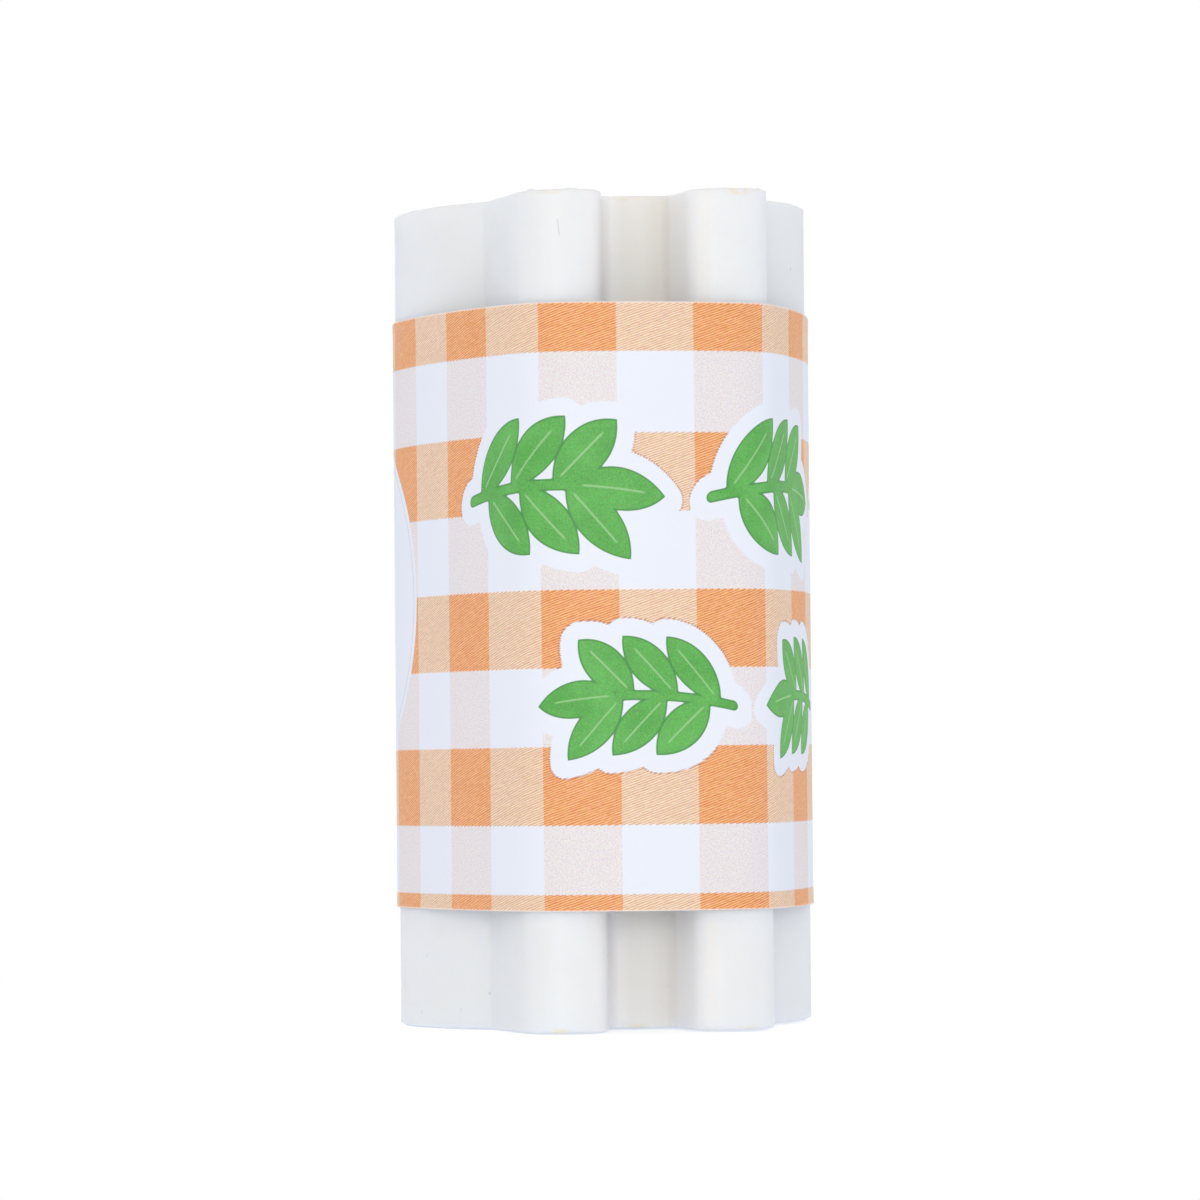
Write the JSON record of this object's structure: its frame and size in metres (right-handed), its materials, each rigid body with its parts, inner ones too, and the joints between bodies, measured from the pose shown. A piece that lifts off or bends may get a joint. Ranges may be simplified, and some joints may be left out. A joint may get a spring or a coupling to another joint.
{
  "type": "animal eraser",
  "caption": "White vinyl eraser bar extruded in the outline of a rabbit's head with upright ears, in a sliding gingham paper sleeve.",
  "frame": {"origin": "on the flat base of the vinyl bar, at the centre of the rabbit's round head", "axes": "+Z along the bar, from its base to its top; the ears point along -Y; X runs across the two ears"},
  "size_m": [0.0308, 0.0378, 0.06],
  "materials": {
    "white_vinyl": "matte",
    "printed_paper": "satin"
  },
  "bodies": {
    "bar": {"eraser_bar": "white_vinyl"},
    "sleeve": {"paper_sleeve": "printed_paper"}
  },
  "joints": [
    {"name": "sleeve_slide", "type": "slide", "parent": "bar", "child": "sleeve", "axis": [0, 0, 1], "range_m": [-0.0087, 0.052]}
  ]
}
